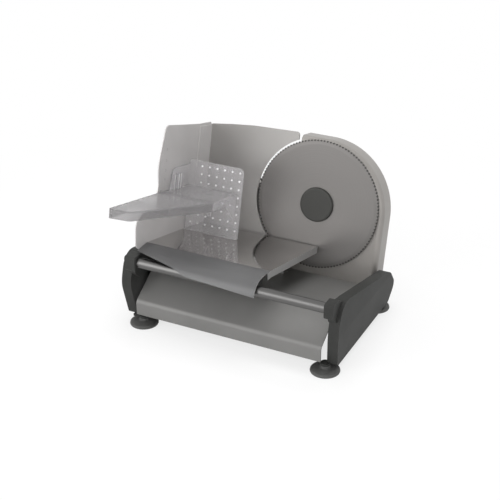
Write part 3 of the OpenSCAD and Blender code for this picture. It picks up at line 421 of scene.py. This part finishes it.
def islands(nodeName):
    # Corner points of each separate solid of a node, in mm in the tilted frame
    work = bmesh.new()
    work.from_mesh(nodes[nodeName].data)
    bmesh.ops.remove_doubles(work, verts=work.verts, dist=mergeDistance)
    left = set(work.verts)
    groups = []
    for start in work.verts:
        if start not in left:
            continue
        left.remove(start)
        queue = [start]
        group = []
        while queue:
            vert = queue.pop()
            group.append(toTilted @ vert.co / mm)
            for edge in vert.link_edges:
                other = edge.other_vert(vert)
                if other in left:
                    left.remove(other)
                    queue.append(other)
        groups.append(group)
    work.free()
    return groups


# Faces of the tilted frame: to the back, and from the end wall towards the blade
backFace = Matrix(((-1, 0, 0, 0), (0, 0, 1, 0), (0, 1, 0, 0), (0, 0, 0, 1)))
wallFace = Matrix(((0, 0, 1, 0), (1, 0, 0, 0), (0, 1, 0, 0), (0, 0, 0, 1)))

# Four shallow dimples in the end wall, in a darker steel than the wall: painted shade in their hollows
wallDimples = {"x": -182, "y": -132, "heights": (67, 51, 37, 24), "radius": 1.9, "rise": 0.3}
dimples = bmesh.new()
for height in wallDimples["heights"]:
    drawDimple(dimples, wallDimples["radius"], wallDimples["rise"], (wallDimples["y"], height))
detail("wallDimples", dimples, Matrix.Translation((wallDimples["x"], 0, 0)) @ wallFace, "dimpleShadedSteel",
       "carriage_wall")

# Painted shade: a thin dark cross laid on each cover screw's head stands in for the shadow in its cross
# recess
screwCross = {"arm": 2.4, "half": 0.5, "thick": 0.06, "turn": 35}
arm, half = screwCross["arm"], screwCross["half"]
quarter = [Vector((half, half)), Vector((half, arm)), Vector((-half, arm))]
crossPoints = [Matrix.Rotation(math.radians(90 * i), 2) @ p for i in range(4) for p in quarter]
for number, group in enumerate(islands("cover_screws")):
    low = Vector(min(v[i] for v in group) for i in range(3))
    high = Vector(max(v[i] for v in group) for i in range(3))
    slot = bmesh.new()
    drawOutline(slot, crossPoints, screwCross["thick"])
    head = Matrix.Translation(((low.x + high.x) / 2, high.y, (low.z + high.z) / 2)) @ backFace
    spin = Matrix.Rotation(math.radians(screwCross["turn"] * number), 4, "Z")
    detail("screwCross%d" % number, slot, head @ spin, "recessShade", "cover_screws")

# Off and on marks on the rocker
rockerMarks = {"axis": (62, 31.5, 40), "rest": -8, "out": 8.25, "up": 5.5, "fall": (1.5, 11),
               "bar": (0.6, 2.4), "ring": (1.7, 2.4), "thick": 0.05}
rockerRest = Matrix.Rotation(math.radians(rockerMarks["rest"]), 4, "X")
rockerTurn = Matrix.Translation(rockerMarks["axis"]) @ rockerRest
slope = math.atan2(*rockerMarks["fall"])
wide, tall = rockerMarks["bar"]
bar = bmesh.new()
drawOutline(bar, [(-wide, -tall), (wide, -tall), (wide, tall), (-wide, tall)], rockerMarks["thick"])
ring = bmesh.new()
drawRing(ring, *rockerMarks["ring"], rockerMarks["thick"])
for name, work, side in (("rockerOn", bar, 1), ("rockerOff", ring, -1)):
    offset = Matrix.Translation((0, rockerMarks["out"], side * rockerMarks["up"]))
    lean = Matrix.Rotation(-side * slope, 4, "X")
    detail(name, work, rockerTurn @ offset @ lean @ backFace, "markPaint", "power_rocker")

# Thickness scale on the knob and its fixed mark on the support
knobScale = {"centre": (-123, 68.4, -10), "last": 15, "step": 20.07, "every": 5, "outer": 14.4,
             "longTick": (11.6, 0.35), "shortTick": (12.6, 0.22), "digitAt": 9, "digitSize": 4.2,
             "thick": 0.05}
knobAxis = Matrix.Translation(knobScale["centre"]) @ backFace


def scaleAngle(number):
    return math.radians(180 - knobScale["step"] * number)


ticks = bmesh.new()
for number in range(knobScale["last"] + 1):
    angle = scaleAngle(number)
    inner, width = knobScale["shortTick" if number % knobScale["every"] else "longTick"]
    across = Vector((-math.sin(angle), math.cos(angle))) * width
    along = Vector((math.cos(angle), math.sin(angle)))
    start = along * inner
    end = along * knobScale["outer"]
    drawOutline(ticks, [start - across, end - across, end + across, start + across], knobScale["thick"])
detail("knobTicks", ticks, knobAxis, "markPaint", "thickness_knob")
for number in range(0, knobScale["last"] + 1, knobScale["every"]):
    curve = bpy.data.curves.new("digit%d" % number, "FONT")
    curve.body = str(number)
    curve.size = knobScale["digitSize"]
    curve.extrude = knobScale["thick"] * 0.8
    curve.align_x = "CENTER"
    curve.align_y = "CENTER"
    letter = bpy.data.objects.new("digit", curve)
    scene.collection.objects.link(letter)
    bpy.context.view_layer.update()
    digit = bmesh.new()
    digit.from_mesh(bpy.data.meshes.new_from_object(letter))
    bpy.data.objects.remove(letter)
    lay = Matrix.Rotation(scaleAngle(number), 4, "Z") @ Matrix.Translation((knobScale["digitAt"], 0, 0))
    detail("knobDigit%d" % number, digit, knobAxis @ lay @ Matrix.Rotation(math.pi, 4, "Z"), "markPaint",
           "thickness_knob")

pointerMark = {"place": (-123, 50, -10), "tip": -22.6, "root": -27, "half": 1.8, "thick": 0.05}
pointer = bmesh.new()
drawOutline(pointer, [(pointerMark["tip"], 0), (pointerMark["root"], pointerMark["half"]),
                      (pointerMark["root"], -pointerMark["half"])], pointerMark["thick"])
detail("knobPointer", pointer, Matrix.Translation(pointerMark["place"]) @ backFace, "markPaint",
       "gauge_support")
print("details done")


# Floor, light and background

floorLook = {"size": 12, "drop": -0.0002, "grey": 0.9, "near": 0.25, "far": 0.75, "nearWhite": 0.74}


def paleFloor():
    # White to the camera and in metal and glass, with the shadow left in near the part
    material, treeNodes, links, shader = newMaterial("paleFloor")
    grey = floorLook["grey"]
    shader.inputs["Base Color"].default_value = (grey, grey, grey, 1)
    shader.inputs["Roughness"].default_value = 0.9
    shader.inputs["Specular IOR Level"].default_value = 0.0
    glow = treeNodes.new("ShaderNodeEmission")
    glow.inputs["Strength"].default_value = 1.0
    mix = treeNodes.new("ShaderNodeMixShader")
    path = treeNodes.new("ShaderNodeLightPath")
    seen = mathNode(treeNodes, links, "MAXIMUM", path.outputs["Is Camera Ray"],
                    path.outputs["Is Transmission Ray"])
    seen = mathNode(treeNodes, links, "MAXIMUM", seen, path.outputs["Is Glossy Ray"])
    coord = treeNodes.new("ShaderNodeTexCoord")
    distance = treeNodes.new("ShaderNodeVectorMath")
    distance.operation = "LENGTH"
    links.new(coord.outputs["Object"], distance.inputs[0])
    clear = treeNodes.new("ShaderNodeMapRange")
    clear.interpolation_type = "SMOOTHSTEP"
    clear.inputs["From Min"].default_value = floorLook["near"]
    clear.inputs["From Max"].default_value = floorLook["far"]
    clear.inputs["To Min"].default_value = floorLook["nearWhite"]
    clear.inputs["To Max"].default_value = 1.0
    links.new(distance.outputs["Value"], clear.inputs["Value"])
    links.new(mathNode(treeNodes, links, "MULTIPLY", seen, clear.outputs["Result"]), mix.inputs["Fac"])
    links.new(shader.outputs["BSDF"], mix.inputs[1])
    links.new(glow.outputs["Emission"], mix.inputs[2])
    links.new(mix.outputs["Shader"], treeNodes["Material Output"].inputs["Surface"])
    return material


reach = floorLook["size"] / 2
floorMesh = bpy.data.meshes.new("floor")
floorMesh.from_pydata([(-reach, -reach, 0), (reach, -reach, 0), (reach, reach, 0), (-reach, reach, 0)], [],
                      [(0, 1, 2, 3)])
floorMesh.materials.append(paleFloor())
floor = bpy.data.objects.new("floor", floorMesh)
floor.location = (0, 0, floorLook["drop"])
scene.collection.objects.link(floor)

# Room: bright along the horizon and grey overhead, white where it is seen, in metal and glass too
roomLook = {"low": 0.15, "high": 0.7, "horizon": 0.8, "overhead": 0.3}
world = bpy.data.worlds.new("world")
scene.world = world
world.use_nodes = True
worldNodes = world.node_tree.nodes
worldLinks = world.node_tree.links
direction = worldNodes.new("ShaderNodeTexCoord")
skyParts = worldNodes.new("ShaderNodeSeparateXYZ")
worldLinks.new(direction.outputs["Generated"], skyParts.inputs["Vector"])
fade = worldNodes.new("ShaderNodeMapRange")
fade.inputs["From Min"].default_value = roomLook["low"]
fade.inputs["From Max"].default_value = roomLook["high"]
fade.inputs["To Min"].default_value = roomLook["horizon"]
fade.inputs["To Max"].default_value = roomLook["overhead"]
worldLinks.new(skyParts.outputs["Z"], fade.inputs["Value"])
worldPath = worldNodes.new("ShaderNodeLightPath")
seenDirect = mathNode(worldNodes, worldLinks, "MAXIMUM", worldPath.outputs["Is Camera Ray"],
                      worldPath.outputs["Is Transmission Ray"])
seenDirect = mathNode(worldNodes, worldLinks, "MAXIMUM", seenDirect, worldPath.outputs["Is Glossy Ray"])
worldLinks.new(mathNode(worldNodes, worldLinks, "MAXIMUM", seenDirect, fade.outputs["Result"]),
               worldNodes["Background"].inputs["Strength"])
worldNodes["Background"].inputs["Color"].default_value = (1, 1, 1, 1)

lamps = {
    "keyLight": {"place": (-1.6, -2.2, 1.1), "target": (0, 0, 0.12), "size": 2.2, "power": 40,
                 "mirrored": True},
    "fillLight": {"place": (1.4, -2.1, 0.9), "target": (0, 0, 0.12), "size": 2.2, "power": 22,
                  "mirrored": True},
    "topLight": {"place": (0.0, 0.4, 2.4), "target": (0, 0, 0.15), "size": 1.6, "power": 42,
                 "mirrored": False}}
for name, look in lamps.items():
    lampData = bpy.data.lights.new(name, "AREA")
    lampData.size = look["size"]
    lampData.energy = look["power"]
    lamp = bpy.data.objects.new(name, lampData)
    lamp.location = look["place"]
    aim = Vector(look["target"]) - Vector(look["place"])
    lamp.rotation_euler = aim.to_track_quat("-Z", "Y").to_euler()
    lamp.visible_glossy = look["mirrored"]
    scene.collection.objects.link(lamp)
print("stage done")
